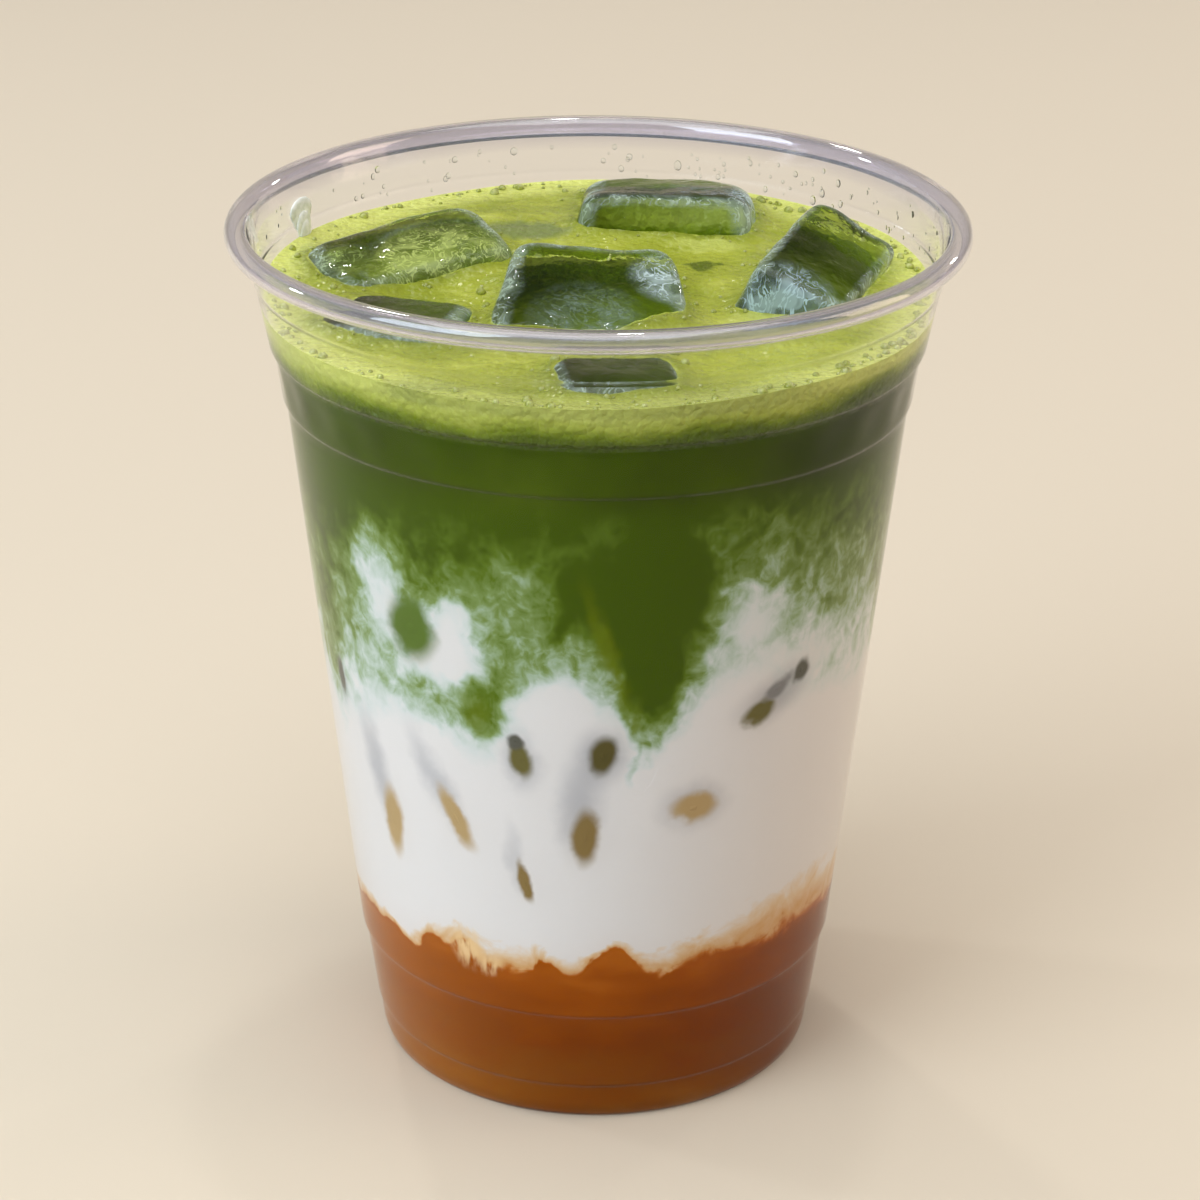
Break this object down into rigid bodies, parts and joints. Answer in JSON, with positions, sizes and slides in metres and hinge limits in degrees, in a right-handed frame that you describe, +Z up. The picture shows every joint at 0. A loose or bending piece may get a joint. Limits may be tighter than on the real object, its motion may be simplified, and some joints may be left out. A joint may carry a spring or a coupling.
{
  "type": "iced matcha latte",
  "caption": "Iced matcha latte in a clear tapered plastic cup: amber syrup, milk and matcha in layers under green froth, with melting ice blocks at the top.",
  "frame": {"origin": "middle of the cup's base, on the surface it stands on", "axes": "+Z up the cup's axis, -Y to the side the picture shows as the front, +X to its right"},
  "size_m": [0.098, 0.098, 0.12],
  "materials": {
    "clear_plastic": "clear, glossy thermoformed sheet",
    "caramel_syrup": "amber-brown liquid",
    "milk": "opaque milk",
    "matcha": "dark green liquid",
    "froth": "fine yellow-green foam",
    "ice": "clear melting ice"
  },
  "bodies": {
    "root": {"cup": "clear_plastic", "syrup": "caramel_syrup", "milk": "milk", "matcha": "matcha", "froth": "froth", "ice_back": "ice", "ice_middle": "ice", "ice_right": "ice", "ice_left": "ice", "ice_left_front": "ice", "ice_front": "ice"}
  },
  "joints": []
}
